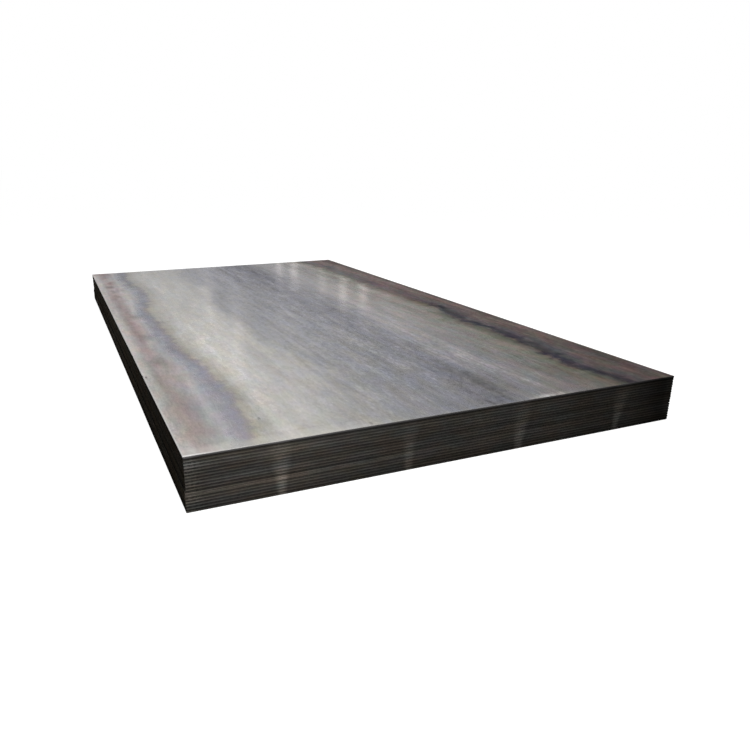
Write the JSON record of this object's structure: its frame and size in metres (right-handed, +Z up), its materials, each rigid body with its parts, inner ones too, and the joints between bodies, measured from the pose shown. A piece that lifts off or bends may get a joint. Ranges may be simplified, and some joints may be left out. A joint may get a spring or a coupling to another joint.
{
  "type": "stack of steel plates",
  "caption": "Even stack of thin rectangular steel plates with sheared edges and annealed grey faces, lying flat as raw stock.",
  "frame": {"origin": "under the middle of the stack, on the surface it lies on", "axes": "+Z up through the stack, +Y along the plates in the rolling direction, from the leading ends towards the tail ends, +X across the plates"},
  "size_m": [1.2242, 2.4418, 0.1156],
  "materials": {
    "annealed_face": "bare annealed steel, brushed along the rolling direction, with blue, straw and mauve temper colours near both long edges",
    "sheared_edge": "dark oxidised sheared edge, matt fracture under a smoother cut land"
  },
  "bodies": {
    "root": {"plate_01": "sheared_edge", "plate_02": "sheared_edge", "plate_03": "sheared_edge", "plate_04": "sheared_edge", "plate_05": "sheared_edge", "plate_06": "sheared_edge", "plate_07": "sheared_edge", "plate_08": "sheared_edge", "plate_09": "sheared_edge", "plate_10": "sheared_edge", "plate_11": "sheared_edge", "plate_12": "sheared_edge", "plate_13": "sheared_edge", "plate_14": "sheared_edge", "plate_15": "sheared_edge", "plate_16": "sheared_edge", "plate_17": "sheared_edge", "plate_18": "annealed_face"}
  },
  "joints": []
}
